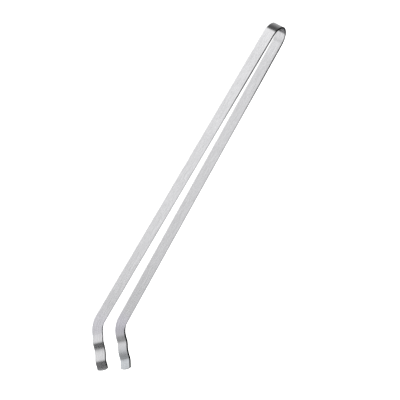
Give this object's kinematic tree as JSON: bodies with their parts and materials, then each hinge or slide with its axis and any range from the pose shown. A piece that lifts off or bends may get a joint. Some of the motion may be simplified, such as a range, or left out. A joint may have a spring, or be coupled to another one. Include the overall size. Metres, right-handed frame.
{
  "type": "long strip tongs",
  "caption": "Long spring tongs bent from one flat brushed steel strip, with a round bow, slightly spread arms and upturned wavy jaws that face each other.",
  "frame": {"origin": "centre of the bow's half-round, on the plane the strip's lower edge lies on", "axes": "+X from the bow to the tips, +Y towards the left arm, +Z across the width of the strip, towards the upturned tips"},
  "size_m": [0.4105, 0.0612, 0.042],
  "materials": {
    "steel": "brushed along the strip, smoother and glossier on the bow and the jaws"
  },
  "bodies": {
    "bow": {"bow": "steel"},
    "left_arm": {"arm_left": "steel", "crank_left": "steel", "jaw_left": "steel"},
    "right_arm": {"arm_right": "steel", "crank_right": "steel", "jaw_right": "steel"}
  },
  "joints": [
    {"name": "left_flex", "type": "hinge", "parent": "bow", "child": "left_arm", "pos_m": [-0.0005, 0.01549, 0.006], "axis": [0, 0, 1], "range_deg": [-3.8, 1], "stiffness_Nm_per_rad": 10},
    {"name": "right_flex", "type": "hinge", "parent": "bow", "child": "right_arm", "pos_m": [-0.0005, -0.01549, 0.006], "axis": [0, 0, 1], "range_deg": [-1, 3.8], "stiffness_Nm_per_rad": 10}
  ],
  "couplings": [
    {"joint": "right_flex", "follows": "left_flex", "ratio": -1}
  ]
}
